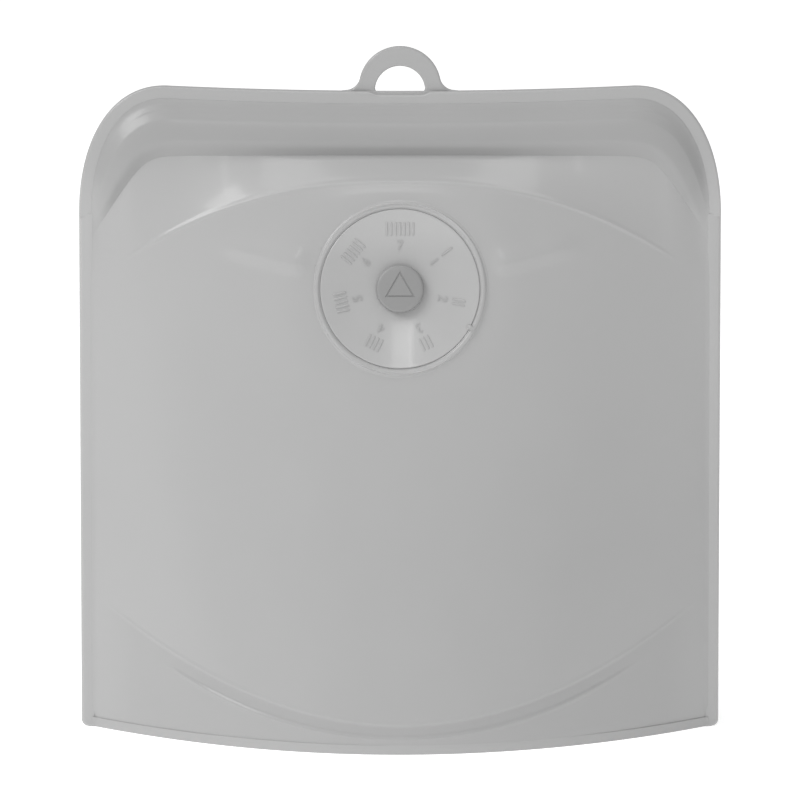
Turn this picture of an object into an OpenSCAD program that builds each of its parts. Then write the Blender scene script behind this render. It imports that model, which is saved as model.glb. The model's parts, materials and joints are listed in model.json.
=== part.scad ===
// Stand-up silicone food bag with a press-to-close mouth, an opened base gusset and a day dial.
// Origin on the table at the middle of the base. +Z up, -Y the front with the dial, +X to the right of the front.

/* [Body] */
// Width across the side seams
bag_w = 200; // [166:1:240]
// Height of the mouth's corners above the table
bag_h = 203; // [169:1:244]
// Depth of the opened base, front to back
base_d = 90; // [74:1:108]
// Depth of the body at the shoulder, under the closure
shoulder_d = 28; // [23:1:34]
// Thickness of the moulded wall
wall = 1.5; // [1.2:0.1:1.8]
// Distance from the top edge down to the middle of the shoulder crease
shoulder_drop = 28; // [26:0.5:34]
// How much lower the shoulder crease is at the seams than in the middle
shoulder_fall = 34; // [28:1:40]

/* [Seams and base] */
// Width of the flat bonded side seam
seam_w = 3.5; // [3:0.1:4.2]
// Thickness of the side seam, both walls together
seam_t = 2.6; // [2.2:0.1:3.2]
// Height of the hem that the bag stands on
hem_h = 3; // [2.5:0.1:3.6]
// Thickness of the hem
hem_t = 2.2; // [1.8:0.1:2.7]
// Height of the floor in the middle of the bag
floor_low = 6; // [5.5:0.1:8]
// Height of the floor at the side seams
floor_high = 40; // [33:1:48]

/* [Mouth] */
// Width of a rounded mouth corner
corner_w = 27; // [22:0.5:33]
// Height of a rounded mouth corner
corner_h = 41; // [34:0.5:49]
// How far the top edge dips in the middle
top_dip = 1.7; // [0:0.1:3]
// Width of the thin lip along the top edge
lip_w = 3.8; // [3.2:0.1:4.6]
// Thickness of each lip
lip_t = 1.5; // [1.2:0.1:1.8]
// Distance from the top edge down to the closure band's lower border
band_drop = 20.8; // [19.5:0.1:24]
// How far the front band stands out from the mouth's middle plane
band_out = 6.2; // [5.4:0.1:7.4]
// How far the back band stands out from the mouth's middle plane
back_band_out = 4.6; // [3.9:0.1:5.5]
// Distance from the side where the band's lower border turns down
leg_run = 20.5; // [18:0.5:24]
// Steepness of the band's lower border beside the turn
leg_slope = 1.58; // [1.3:0.01:1.9]

/* [Closure] */
// How far each sealing rib stands out from the back wall
rib_len = 2.6; // [2.2:0.1:3.1]
// Thickness of each sealing rib
rib_t = 1.6; // [1.4:0.1:1.9]
// Room left past each end of a rib
slot_tail = 1; // [0.5:0.1:1.5]
// Wall of the channel round each rib
channel_wall = 1.1; // [0.9:0.1:1.3]
// Distance from the top edge to the upper rib
upper_track = 8.6; // [8:0.1:9.4]
// Distance from the top edge to the lower rib
lower_track = 15.6; // [14.6:0.1:16.6]
// Clearance between pieces that move apart
gap = 0.3; // [0.2:0.05:0.4]

/* [Hanging loop] */
// Radius of the loop's outer arc
loop_r = 12.8; // [11.4:0.1:15.3]
// Width of the loop's band
loop_band = 5; // [4.2:0.1:5.9]
// Thickness of the loop
loop_t = 2.4; // [2:0.1:2.9]
// Height of the loop's centre above the top edge
loop_rise = 1.1; // [0.9:0.1:1.3]
// Radius of the fillet at each foot of the loop
loop_fillet = 4.6; // [3.8:0.1:5.5]

/* [Day dial] */
// Diameter of the turning day disc
disc_d = 49.6; // [41.4:0.1:59.6]
// Thickness of the disc
disc_t = 0.9; // [0.8:0.1:1.1]
// Depth of the disc's dish, from its rim down to its hub
dish = 2.2; // [1.8:0.1:2.6]
// Distance from the top edge down to the dial's centre
dial_drop = 60.7; // [58:0.1:73]
// Diameter of the arrow button
button_d = 15; // [13:0.1:18]
// Height of the arrow button's head
button_h = 2.6; // [2.2:0.1:3.1]
// Diameter of the button's journal that the disc turns on
journal_d = 8; // [6.7:0.1:9.6]
// Diameter of the button's neck in the socket
neck_d = 4.4; // [3.8:0.1:5.2]
// Height of the raised ring round the disc
ring_h = 0.8; // [0.6:0.1:1]
// How far the disc's rim sits below the ring
rim_below = 0.2; // [0.1:0.1:0.3]
// Width of the raised ring round the disc
ring_w = 1.4; // [1.2:0.1:1.7]
// Radial clearance of a turning fit
running = 0.05; // [0.03:0.01:0.1]

/* [Hidden] */
$fn = 96;

half_w = bag_w / 2;
seam_x = half_w - seam_w;
edge_x = seam_x - gap;
mouth_gap = gap / 2;
base_half = base_d / 2;
shoulder_half = shoulder_d / 2;
seam_half = seam_t / 2;
hem_gap = 0.5;
panel_z0 = hem_h + hem_gap;
shoulder_z = bag_h - shoulder_drop;
band_z = bag_h - band_drop;
corner_x = half_w - corner_w;
corner_z = bag_h - corner_h;
panel_top = band_out - 1.8;
panel_top_run = 12;
turn_softness = 2.5;
floor_reach = half_w - 6;

disc_r = disc_d / 2;
seat_r = disc_r + gap + ring_w;
flat_half = seat_r + 0.5;
dial_z = bag_h - dial_drop;
lean = atan((base_half - shoulder_half) / (shoulder_z - floor_low));
seat_web = wall;
axial = running * 2;
barb_d = neck_d + 1.4;
neck_len = seat_web + 0.8;
barb_len = 2.2;
socket_wall = 1.4;
boss_r = barb_d / 2 + running + socket_wall + 1;
hub_r = button_d / 2 + 0.5;
rim_top = ring_h - rim_below;
hub_top = rim_top - dish;
hub_low = hub_top - disc_t;
seat_floor = hub_low - axial;
print_h = 0.3;
numeral_r = disc_r * 0.54;
day_mark_r = disc_r * 0.75;
days = 7;

// ---- Shape of a wall -------------------------------------------------------------------------

function softplus(u) = u > 30 ? u : ln(1 + exp(u));

// 1 over a flat middle strip, 0 at the seams, with a parabola between them
function plan(x, strip) =
    let (run = max(0, abs(x) - strip) / (edge_x - strip))
    max(0, 1 - run * run);

// The foot is one smooth bow from seam to seam, and the shoulder is flat where the dial sits below it
function base_depth(x) = seam_half + (base_half - seam_half) * plan(x, 0);
function shoulder_depth(x) = seam_half + (shoulder_half - seam_half) * plan(x, flat_half);
function top_depth(x) =
    seam_half + (panel_top - seam_half) * max(0, min(1, (edge_x - abs(x)) / panel_top_run));

// Height of the floor, which the front and back walls meet along an arc
function floor_z(x) = floor_low + (floor_high - floor_low) * min(1, pow(abs(x) / floor_reach, 1.85));

function crease_z(x) = shoulder_z - shoulder_fall * pow(abs(x) / edge_x, 2.4);

// Lower border of the closure band
function border_z(x) =
    band_z - leg_slope * turn_softness * softplus((abs(x) - half_w + leg_run) / turn_softness);

// Distance of a wall's outer face from the middle plane
function depth(x, z) =
    let (base = base_depth(x), mid = shoulder_depth(x), top = top_depth(x))
    let (low = floor_z(x), crease = crease_z(x), high = border_z(x))
    z < low ? base :
    z < crease ? base + (mid - base) * (z - low) / (crease - low) :
    mid + (top - mid) * min(1, (z - crease) / (high - crease));

function slope_x(x, z) = (depth(x + 0.1, z) - depth(x - 0.1, z)) / 0.2;
function slope_z(x, z) = (depth(x, z + 0.1) - depth(x, z - 0.1)) / 0.2;

function inner_depth(x, z) =
    max(mouth_gap, depth(x, z) - wall * sqrt(1 + pow(slope_x(x, z), 2) + pow(slope_z(x, z), 2)));

// ---- Shape of the mouth ----------------------------------------------------------------------

function top_z(x) = bag_h - top_dip * max(0, 1 - pow(x / corner_x, 2));

corner_power = 2 / 2.2;

// Right half of the mouth's outline, inset from the side and from the top, up from an angle
function corner_arc(side, top, from) = [
    for (i = [0 : 14])
        let (a = from + (90 - from) * i / 14)
        [corner_x + (corner_w - side) * pow(cos(a), corner_power),
         corner_z + (corner_h - top) * pow(sin(a), corner_power)]
];

function top_edge(top) = [
    for (i = [1 : 11])
        let (x = corner_x * (1 - i / 6))
        [x, top_z(x) - top]
];

function mirrored(points) = [for (i = [len(points) - 1 : -1 : 0]) [-points[i][0], points[i][1]]];
function reversed(points) = [for (i = [len(points) - 1 : -1 : 0]) points[i]];

// The mouth's outline from the right side over the top to the left side
function arch(side, top, from = 0) =
    let (corner = corner_arc(side, top, from))
    concat(corner, top_edge(top), mirrored(corner));

// The closure band's lower border, from left to right
function border() = [
    for (i = [0 : 48])
        let (x = edge_x * (i / 24 - 1))
        [x, border_z(x)]
];

// ---- Building blocks -------------------------------------------------------------------------

// Extrudes an outline drawn in X and Z from one distance in front of the middle plane to another
module plate(near, far) {
    translate([0, -near, 0]) rotate([90, 0, 0]) linear_extrude(far - near) children();
}

module arch_outline(side, top, width_side, width_top, from = 0) {
    polygon(concat(arch(side, top, from), reversed(arch(side + width_side, top + width_top, from))));
}

columns = 28;
low_rows = 2;
mid_rows = 10;
high_rows = 4;
rows = low_rows + mid_rows + high_rows;

function column_x(i) = edge_x * (2 * i / columns - 1);

function row_z(x, j) =
    j <= low_rows ? panel_z0 + (floor_z(x) - panel_z0) * j / low_rows :
    j <= low_rows + mid_rows ? floor_z(x) + (crease_z(x) - floor_z(x)) * (j - low_rows) / mid_rows :
    crease_z(x) + (border_z(x) - crease_z(x)) * (j - low_rows - mid_rows) / high_rows;

// A moulded wall in front of the middle plane, from the hem up to the closure band
module wall_sheet() {
    count = (columns + 1) * (rows + 1);
    outer = [for (i = [0 : columns], j = [0 : rows])
        let (x = column_x(i), z = row_z(x, j)) [x, -depth(x, z), z]];
    inner = [for (i = [0 : columns], j = [0 : rows])
        let (x = column_x(i), z = row_z(x, j)) [x, -inner_depth(x, z), z]];
    function at(i, j) = i * (rows + 1) + j;
    skins = [for (i = [0 : columns - 1], j = [0 : rows - 1])
        let (a = at(i, j), b = at(i + 1, j), c = at(i + 1, j + 1), d = at(i, j + 1))
        each [[a, c, b], [a, d, c], [a + count, b + count, c + count], [a + count, c + count, d + count]]];
    ends = [for (j = [0 : rows - 1], i = [0, columns])
        let (a = at(i, j), b = at(i, j + 1))
        each i == 0
            ? [[a, a + count, b + count], [a, b + count, b]]
            : [[a, b + count, a + count], [a, b, b + count]]];
    rims = [for (i = [0 : columns - 1], j = [0, rows])
        let (a = at(i, j), b = at(i + 1, j))
        each j == 0
            ? [[a, b, b + count], [a, b + count, a + count]]
            : [[a, b + count, b], [a, a + count, b + count]]];
    polyhedron(concat(outer, inner), concat(skins, ends, rims), convexity = 6);
}

// Puts its children on the dial: local Z points out of the front wall, local Y up the wall
module on_dial() {
    translate([0, -depth(0, dial_z), dial_z]) rotate([90 - lean, 0, 0]) children();
}

// A bar of the closure along the upper or the lower track, half as high as given on each side
upper_from = 18;
lower_reach = corner_x + 3;

module upper_bar(half) {
    arch_outline(upper_track - half, upper_track - half, 2 * half, 2 * half, upper_from);
}

module lower_bar(half) {
    side = [for (i = [0 : 12]) let (x = lower_reach * (1 - i / 6)) [x, top_z(x) - lower_track]];
    polygon(concat(
        [for (p = side) [p[0], p[1] + half]],
        [for (p = reversed(side)) [p[0], p[1] - half]]
    ));
}

slot_half = rib_t / 2 + gap;
channel_half = slot_half + channel_wall;
slot_far = rib_len + gap;
channel_far = slot_far + channel_wall;

// A line with a short tail at each end, so that a cut along it runs clear of both ends
function tailed(points, way) =
    concat([points[0] + way], points, [points[len(points) - 1] + [-way[0], way[1]]]);

module upper_slot() {
    side = upper_track - slot_half;
    far_side = side + 2 * slot_half;
    polygon(concat(
        tailed(arch(side, side, upper_from), [0, -slot_tail]),
        reversed(tailed(arch(far_side, far_side, upper_from), [0, -slot_tail]))
    ));
}

module lower_slot() {
    side = tailed([for (i = [0 : 12])
        let (x = lower_reach * (1 - i / 6)) [x, top_z(x) - lower_track]], [slot_tail, 0]);
    polygon(concat(
        [for (p = side) [p[0], p[1] + slot_half]],
        [for (p = reversed(side)) [p[0], p[1] - slot_half]]
    ));
}

// ---- Front wall ------------------------------------------------------------------------------

module front_panel() {
    color("gainsboro") difference() {
        wall_sheet();
        on_dial() translate([0, 0, -wall - 6]) cylinder(r = seat_r, h = wall + 12);
    }
}

module band_outline() {
    polygon(concat(arch(seam_w + gap, lip_w), border()));
}

module front_closure_band() {
    color("silver") difference() {
        plate(mouth_gap, band_out) band_outline();
        plate(mouth_gap - 1, channel_far) upper_bar(channel_half);
        plate(mouth_gap - 1, channel_far) lower_bar(channel_half);
        // Room past the ribs' ends
        plate(mouth_gap - 1, slot_far) upper_slot();
        plate(mouth_gap - 1, slot_far) lower_slot();
    }
}

module front_lip() {
    color("gainsboro")
        plate(mouth_gap, mouth_gap + lip_t) arch_outline(0, 0, seam_w + gap, lip_w);
}

module upper_channel() {
    color("lightgray") difference() {
        plate(mouth_gap, channel_far) upper_bar(channel_half);
        plate(mouth_gap - 1, slot_far) upper_slot();
    }
}

module lower_channel() {
    color("lightgray") difference() {
        plate(mouth_gap, channel_far) lower_bar(channel_half);
        plate(mouth_gap - 1, slot_far) lower_slot();
    }
}

// ---- Back wall -------------------------------------------------------------------------------

module back_panel() {
    color("gainsboro") mirror([0, 1, 0]) wall_sheet();
}

module back_closure_band() {
    color("silver") mirror([0, 1, 0]) plate(mouth_gap, back_band_out) band_outline();
}

module back_lip() {
    color("gainsboro") mirror([0, 1, 0])
        plate(mouth_gap, mouth_gap + lip_t) difference() {
            arch_outline(0, 0, seam_w + gap, lip_w);
            loop_patch();
        }
}

loop_z = top_z(0) + loop_rise;
loop_hole_r = loop_r - loop_band;
loop_hole_low = top_z(0) - 0.8;
loop_fillet_rise = top_z(loop_r + loop_fillet) + loop_fillet - loop_z;
// The fillets' centres stand where each fillet just touches the loop's circle
loop_foot = sqrt((loop_r + loop_fillet) ^ 2 - loop_fillet_rise ^ 2);

// The stretch of lip that the loop grows from
module loop_patch() {
    translate([-loop_foot, bag_h - lip_w - top_dip]) square([2 * loop_foot, lip_w + top_dip]);
}

module loop_outline() {
    difference() {
        union() {
            intersection() {
                translate([0, loop_z]) circle(loop_r);
                translate([-loop_r, top_z(0) - lip_w / 2]) square([2 * loop_r, 2 * loop_r]);
            }
            intersection() {
                loop_patch();
                polygon(concat(arch(0, 0), reversed(arch(seam_w + gap, lip_w))));
            }
            difference() {
                translate([-loop_foot, top_z(loop_foot)]) square([2 * loop_foot, loop_fillet]);
                for (side = [-1, 1])
                    translate([side * loop_foot, top_z(loop_foot) + loop_fillet]) circle(loop_fillet);
            }
        }
        intersection() {
            translate([0, loop_z - loop_rise]) circle(loop_hole_r);
            translate([-loop_r, loop_hole_low]) square([2 * loop_r, loop_r]);
        }
    }
}

module hanging_loop() {
    color("gainsboro") mirror([0, 1, 0]) plate(mouth_gap, mouth_gap + loop_t) loop_outline();
}

module upper_rib() {
    color("lightgray") plate(-mouth_gap, rib_len) upper_bar(rib_t / 2);
}

module lower_rib() {
    color("lightgray") plate(-mouth_gap, rib_len) lower_bar(rib_t / 2);
}

// ---- Base ------------------------------------------------------------------------------------

floor_end = edge_x - 3;
floor_columns = 32;

function floor_slope(x) = (floor_z(abs(x) + 0.1) - floor_z(max(0, abs(x) - 0.1))) / 0.2;
function floor_half(x) = inner_depth(x, floor_z(x) - 0.2) - gap;

// The floor is a sheet that is straight from front to back and sags from seam to seam
module base_gusset() {
    points = [for (i = [0 : floor_columns])
        let (x = floor_end * (2 * i / floor_columns - 1), h = floor_z(x), half = floor_half(x))
        let (low = h - wall * sqrt(1 + pow(floor_slope(x), 2)))
        each [[x, -half, low], [x, half, low], [x, half, h], [x, -half, h]]];
    sides = [for (i = [0 : floor_columns - 1], k = [0 : 3])
        let (a = 4 * i + k, b = 4 * i + (k + 1) % 4)
        each [[a, a + 4, b + 4], [a, b + 4, b]]];
    last = 4 * floor_columns;
    color("gainsboro") polyhedron(
        points,
        concat(sides, [[0, 1, 2], [0, 2, 3], [last, last + 2, last + 1], [last, last + 3, last + 2]]),
        convexity = 6
    );
}

function hem_inner(x) =
    let (steep = (base_depth(x + 0.1) - base_depth(x - 0.1)) / 0.2)
    max(mouth_gap, base_depth(x) - hem_t * sqrt(1 + steep * steep));

module hem() {
    run = [for (i = [0 : 40]) seam_x * (i / 20 - 1)];
    linear_extrude(hem_h) polygon(concat(
        [for (x = run) [x, -base_depth(x)]],
        [for (x = reversed(run)) [x, -hem_inner(x)]]
    ));
}

module front_hem() {
    color("gainsboro") hem();
}

module back_hem() {
    color("gainsboro") mirror([0, 1, 0]) hem();
}

seam_round = 2;

module seam() {
    plate(-seam_half, seam_half) union() {
        translate([seam_x, seam_round]) square([seam_w, corner_z - gap - seam_round]);
        translate([seam_x, 0]) square([seam_w - seam_round, seam_round]);
        translate([half_w - seam_round, seam_round]) circle(seam_round);
    }
}

module right_seam() {
    color("gainsboro") seam();
}

module left_seam() {
    color("gainsboro") mirror([1, 0, 0]) seam();
}

// ---- Day dial --------------------------------------------------------------------------------

socket_ledge = seat_floor - neck_len + axial / 2;
socket_end = socket_ledge - barb_len - axial;

// The wall's round patch: a dished recess with a raised ring, and a blind snap socket behind its middle
module dial_seat() {
    neck = neck_d / 2 + running;
    bulb = barb_d / 2 + running;
    color("gainsboro") on_dial() rotate_extrude() polygon([
        [neck, seat_floor], [hub_r, seat_floor], [disc_r, seat_floor + dish],
        [disc_r + gap, seat_floor + dish], [disc_r + gap, ring_h], [seat_r, ring_h],
        [seat_r, seat_floor + dish - seat_web], [disc_r, seat_floor + dish - seat_web],
        [hub_r, seat_floor - seat_web], [boss_r, seat_floor - seat_web], [boss_r, socket_end - socket_wall],
        [0, socket_end - socket_wall], [0, socket_end], [bulb, socket_end],
        [bulb, socket_ledge], [neck, socket_ledge]
    ]);
}

nib_angle = -29;
nib_w = 2.4;
nib_in = 2;
nib_over = 1.2;
nib_h = 0.5;

// The disc is a thin dish that turns on the button's journal, with a nib to push it round by
module day_disc() {
    bore = journal_d / 2 + running;
    color("whitesmoke") on_dial() union() {
        rotate_extrude() polygon([
            [bore, hub_low], [hub_r, hub_low], [disc_r, hub_low + dish],
            [disc_r, rim_top], [hub_r, hub_top], [bore, hub_top]
        ]);
        rotate([0, 0, nib_angle]) {
            translate([disc_r - nib_in, -nib_w / 2, rim_top - disc_t / 2])
                cube([nib_in - gap, nib_w, ring_h + gap + nib_h - rim_top + disc_t / 2]);
            translate([disc_r - nib_in, -nib_w / 2, ring_h + gap])
                cube([nib_in + nib_over, nib_w, nib_h]);
        }
    }
}

// A thin skin that lies on the dished face of the disc, which raised marks are cut from
module disc_skin() {
    rotate_extrude() polygon([
        [hub_r, hub_top], [disc_r, rim_top], [disc_r, rim_top + print_h], [hub_r, hub_top + print_h]
    ]);
}

stroke = 0.5;
digit_w = 2;
digit_h = 3.2;

// The seven strokes of a plain digit: from and to, in digit widths and half heights
STROKES = [
    [[0, 2], [1, 2]], [[1, 2], [1, 1]], [[1, 1], [1, 0]], [[0, 0], [1, 0]],
    [[0, 1], [0, 0]], [[0, 2], [0, 1]], [[0, 1], [1, 1]]
];
DIGITS = [
    [1, 2], [0, 1, 6, 4, 3], [0, 1, 6, 2, 3], [5, 6, 1, 2],
    [0, 5, 6, 2, 3], [0, 5, 6, 2, 3, 4], [0, 1, 2]
];

module digit(n) {
    for (k = DIGITS[n - 1]) {
        a = [STROKES[k][0][0] * digit_w, STROKES[k][0][1] * digit_h / 2];
        b = [STROKES[k][1][0] * digit_w, STROKES[k][1][1] * digit_h / 2];
        low = [min(a[0], b[0]), min(a[1], b[1])];
        size = [abs(a[0] - b[0]), abs(a[1] - b[1])];
        translate(low - [stroke, stroke] / 2 - [digit_w, digit_h] / 2)
            square(size + [stroke, stroke]);
    }
}

// Day n stands n sevenths of a turn clockwise of the top, and day 7 at the top
module at_day(n, r) {
    rotate([0, 0, -n * 360 / days]) translate([0, r]) children();
}

module disc_numerals() {
    color("lightgray") on_dial() intersection() {
        disc_skin();
        linear_extrude(2 * dish + 4, center = true)
            for (n = [1 : days]) at_day(n, numeral_r) digit(n);
    }
}

day_mark_w = 6.4;
day_mark_h = 2.6;

module disc_day_marks() {
    color("lightgray") on_dial() intersection() {
        disc_skin();
        linear_extrude(2 * dish + 4, center = true)
            for (n = [1 : days]) at_day(n, day_mark_r)
                translate([-day_mark_w, -day_mark_h] / 2) square([day_mark_w, day_mark_h]);
    }
}

arrow_r = button_d * 0.29;
arrow_line = 0.45;
arrow_depth = 0.4;
button_round = 0.9;

module triangle(r) {
    polygon([for (k = [0 : 2]) r * [sin(120 * k), cos(120 * k)]]);
}

// One moulded button: a flat head with an arrow groove, a journal, a neck and a snap barb
module arrow_button() {
    head = button_d / 2;
    head_low = hub_top + axial;
    head_high = head_low + button_h;
    foot = seat_floor + axial / 2;
    ledge = foot - neck_len;
    color("dimgray") on_dial() difference() {
        rotate_extrude() union() {
            polygon([
                [0, ledge - barb_len], [barb_d / 4, ledge - barb_len], [barb_d / 2, ledge],
                [neck_d / 2, ledge], [neck_d / 2, foot], [journal_d / 2, foot],
                [journal_d / 2, head_low], [head, head_low], [head, head_high - button_round],
                [head - button_round, head_high], [0, head_high]
            ]);
            intersection() {
                translate([head - button_round, head_high - button_round]) circle(button_round);
                translate([head - button_round, head_high - button_round]) square(button_round);
            }
        }
        translate([0, 0, head_high - arrow_depth]) linear_extrude(1) difference() {
            triangle(arrow_r);
            triangle(arrow_r - 2 * arrow_line);
        }
    }
}

// ----------------------------------------------------------------------------------------------

front_panel();
front_closure_band();
front_lip();
upper_channel();
lower_channel();
dial_seat();
back_panel();
back_closure_band();
back_lip();
hanging_loop();
upper_rib();
lower_rib();
base_gusset();
front_hem();
back_hem();
left_seam();
right_seam();
day_disc();
disc_numerals();
disc_day_marks();
arrow_button();
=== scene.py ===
import json
import math

import bpy
import numpy as np
from mathutils import Matrix, Vector


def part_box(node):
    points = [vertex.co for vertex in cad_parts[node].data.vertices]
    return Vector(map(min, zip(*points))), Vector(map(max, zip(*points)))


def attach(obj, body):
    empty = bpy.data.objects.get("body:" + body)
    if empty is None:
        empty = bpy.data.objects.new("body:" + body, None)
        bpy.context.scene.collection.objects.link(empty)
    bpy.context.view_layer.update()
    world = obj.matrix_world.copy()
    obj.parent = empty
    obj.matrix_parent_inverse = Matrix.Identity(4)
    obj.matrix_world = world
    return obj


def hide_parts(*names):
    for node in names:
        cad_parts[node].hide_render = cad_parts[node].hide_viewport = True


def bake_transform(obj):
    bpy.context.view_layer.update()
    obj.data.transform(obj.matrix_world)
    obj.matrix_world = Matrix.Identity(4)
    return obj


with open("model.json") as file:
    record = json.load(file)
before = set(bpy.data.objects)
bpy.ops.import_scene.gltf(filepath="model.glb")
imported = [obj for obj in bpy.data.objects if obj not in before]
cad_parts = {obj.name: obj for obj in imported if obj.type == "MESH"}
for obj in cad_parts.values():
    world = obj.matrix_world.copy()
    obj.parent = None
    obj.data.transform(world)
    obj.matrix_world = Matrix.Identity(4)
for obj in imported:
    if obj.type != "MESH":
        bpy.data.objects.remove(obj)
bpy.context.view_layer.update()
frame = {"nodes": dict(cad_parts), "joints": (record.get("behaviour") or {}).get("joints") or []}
mm = 0.001
print("frame loaded:", len(frame["nodes"]), "nodes")


def addObject(name, data):
    made = bpy.data.objects.new(name, data)
    bpy.context.scene.collection.objects.link(made)
    return made



# camera

cameraSet = {"elevation": 10.0, "distance": 3.2, "viewWidth": 0.25, "aim": (0.0, 0.0, 0.1038)}


def addCamera():
    tilt = math.radians(cameraSet["elevation"])
    back = Vector((0, -math.cos(tilt), math.sin(tilt)))
    data = bpy.data.cameras.new("studioCamera")
    camera = addObject("studioCamera", data)
    data.lens = data.sensor_width * cameraSet["distance"] / cameraSet["viewWidth"]
    data.clip_end = 20
    camera.rotation_mode = "QUATERNION"
    camera.location = Vector(cameraSet["aim"]) + back * cameraSet["distance"]
    camera.rotation_quaternion = (-back).to_track_quat("-Z", "Y")
    bpy.context.scene.camera = camera


addCamera()

# sizes, in millimetres, read from the frame


def nodeBox(name):
    low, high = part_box(name)
    return [v / mm for v in low], [v / mm for v in high]


seamHigh = nodeBox("right_seam")[1]
hemLow, hemHigh = nodeBox("front_hem")
lipHigh = nodeBox("front_lip")[1]
bandLow = nodeBox("front_closure_band")[0]
backBandHigh = nodeBox("back_closure_band")[1]
floorHigh = nodeBox("base_gusset")[1]
panelHigh = nodeBox("front_panel")[1]

bag = {
    "halfWidth": seamHigh[0],
    "edge": panelHigh[0],          # where a wall meets the side seam
    "top": lipHigh[2],
    "footHalf": -hemLow[1],        # half the depth of the base
    "hemHeight": hemHigh[2],
    "seamHalf": seamHigh[1],
    "shoulderHalf": 14.0,
    "shoulderDrop": 28.0,
    "shoulderFall": 34.0,
    "flatHalf": 27.0,              # half the flat strip that the dial sits in
    "wall": 1.5,
    "floorLow": 6.0,
    "floorHigh": floorHigh[2],
    "floorPower": 1.85,
    "creasePower": 2.4,
    "topSwell": 3.1,               # how much thicker the mouth is in the middle than at the seam
    "cornerWidth": 27.0,
    "cornerHeight": 41.0,
    "topDip": 1.7,
    "lipWidth": 3.8,
    "bandDrop": 20.8,
    "bandSag": 0.6,
    "legRun": 20.5,
    "legSlope": 1.58,
    "legTurn": 2.5,
    "mouthGap": 0.15,
}
bag["floorReach"] = bag["halfWidth"] - 6
bag["shoulder"] = bag["top"] - bag["shoulderDrop"]
bag["bandLine"] = bag["top"] - bag["bandDrop"]
bag["cornerX"] = bag["halfWidth"] - bag["cornerWidth"]
bag["cornerZ"] = bag["top"] - bag["cornerHeight"]

front = {"sign": -1, "body": "front_wall", "bandOut": -bandLow[1], "pucker": 0.35, "name": "front"}
back = {"sign": 1, "body": "back_wall", "bandOut": backBandHigh[1], "pucker": 0.0, "name": "back"}

turnJoint = [j for j in frame["joints"] if j["name"] == "disc_turn"][0]
dialCentre = Vector(turnJoint["pos_m"]) / mm
dialOut = Vector(turnJoint["axis"]).normalized()
dialUp = Vector((0, dialOut.z, -dialOut.y))


# the shape of a wall

def softRamp(value, softness):
    return np.logaddexp(0, np.asarray(value, float) / softness) * softness


def smoothStep(value):
    t = np.clip(value, 0, 1)
    return t * t * (3 - 2 * t)


def plan(x, strip):
    run = np.maximum(0, np.abs(x) - strip) / (bag["edge"] - strip)
    return np.maximum(0, 1 - run * run)


def footDepth(x):
    return bag["seamHalf"] + (bag["footHalf"] - bag["seamHalf"]) * plan(x, 0)


def shoulderDepth(x):
    return bag["seamHalf"] + (bag["shoulderHalf"] - bag["seamHalf"]) * plan(x, bag["flatHalf"])


def topDepth(x):
    return bag["seamHalf"] + bag["topSwell"] * smoothStep((bag["edge"] - np.abs(x)) / 14)


def floorHeight(x):
    share = np.minimum(1, (np.abs(x) / bag["floorReach"]) ** bag["floorPower"])
    return bag["floorLow"] + (bag["floorHigh"] - bag["floorLow"]) * share


def creaseHeight(x):
    return bag["shoulder"] - bag["shoulderFall"] * (np.abs(x) / bag["edge"]) ** bag["creasePower"]


def borderHeight(x):
    turn = softRamp(np.abs(x) - bag["halfWidth"] + bag["legRun"], bag["legTurn"])
    return bag["bandLine"] - bag["bandSag"] - bag["legSlope"] * turn


def topHeight(x):
    return bag["top"] - bag["topDip"] * np.maximum(0, 1 - (x / bag["cornerX"]) ** 2)


surface = {
    "creaseSoftness": 0.8,
    "creaseRidge": 0.38,
    "creaseRidgeWidth": 0.65,
    "footSoftness": 1.2,
    "weldRidge": 0.3,       # the two bonded lines of the gusset, and the sunk strip between them
    "weldUpperRidge": 0.14,
    "weldSink": 0.25,
    "hemTuck": 0.7,         # how far the wall's lower edge goes into the hem
    "weldSoft": 0.9,        # the strip's edges
    "weldWidth": 0.6,       # of its two lines
    "pull": 0.9,            # the fold that the dial pulls into the wall on both sides
    "pullHeight": 8.4,      # of that fold above the dial's middle
    "pullAbove": 4.3,       # how far it reaches up and down
    "pullBelow": 2.6,
    "sway": 0.22,           # gentle unevenness of the moulding
}


def weldTop(x):
    return floorHeight(x) + 3.3 - 1.3 * smoothStep(np.abs(x) / 70)


def weldLow(x):
    return floorHeight(x) - 1.2 - 2.2 * smoothStep(np.abs(x) / 62)


def weldFade(x):
    return smoothStep((78 - np.abs(x)) / 22)


def hemTuck(z):
    return surface["hemTuck"] * smoothStep((bag["hemHeight"] - 1.0 - z) / 0.8)


def pulledFold(x, z, crease):
    rise, reach = np.where(x < 0, 0.0, 0.22), np.where(x < 0, 46.0, 60.0)
    line = dialCentre.z + surface["pullHeight"] - np.where(x < 0, 0.0, 1.5) + rise * (np.abs(x) - 29)
    above = np.exp(-(np.maximum(0, z - line) / surface["pullAbove"]) ** 2)
    below = np.exp(-(np.maximum(0, line - z) / surface["pullBelow"]) ** 2)
    window = smoothStep((np.hypot(x, z - dialCentre.z) - 27.8) / 6)
    window = window * smoothStep((reach - np.abs(x)) / 14) * smoothStep((crease - z) / 6)
    return surface["pull"] * above * below * window


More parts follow.
